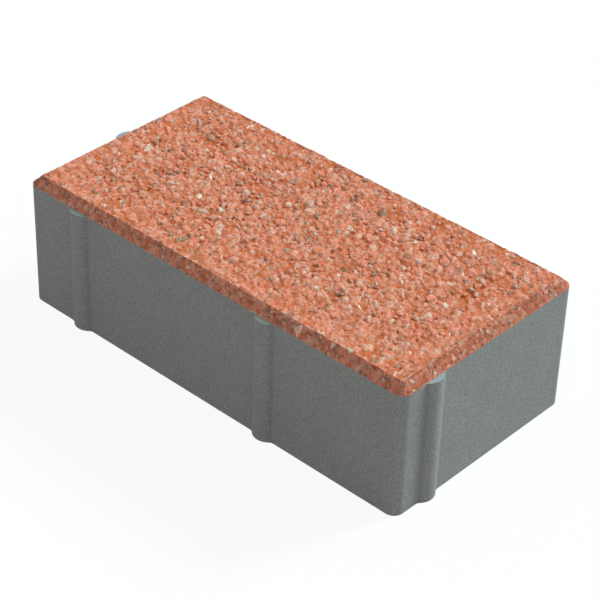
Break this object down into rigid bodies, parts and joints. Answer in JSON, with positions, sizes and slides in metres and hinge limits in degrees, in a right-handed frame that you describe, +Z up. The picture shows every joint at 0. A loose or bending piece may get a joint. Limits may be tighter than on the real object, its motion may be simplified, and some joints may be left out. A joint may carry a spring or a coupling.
{
  "type": "concrete paving stone",
  "caption": "Rectangular two-layer concrete block paver: grey core with spacer nibs round its sides, and a red washed exposed-aggregate facing with a chamfer all round.",
  "frame": {"origin": "centre of the underside, where the stone lies on its bed", "axes": "+Z up through the facing, X along the stone's length, Y across its width; -Y is the long side seen at the left of the picture and +X is the end seen at its right"},
  "size_m": [0.205, 0.105, 0.06],
  "materials": {
    "grey_concrete": "matte",
    "red_washed_concrete": "matte"
  },
  "bodies": {
    "root": {"core_block": "grey_concrete", "facing_layer": "red_washed_concrete"}
  },
  "joints": []
}
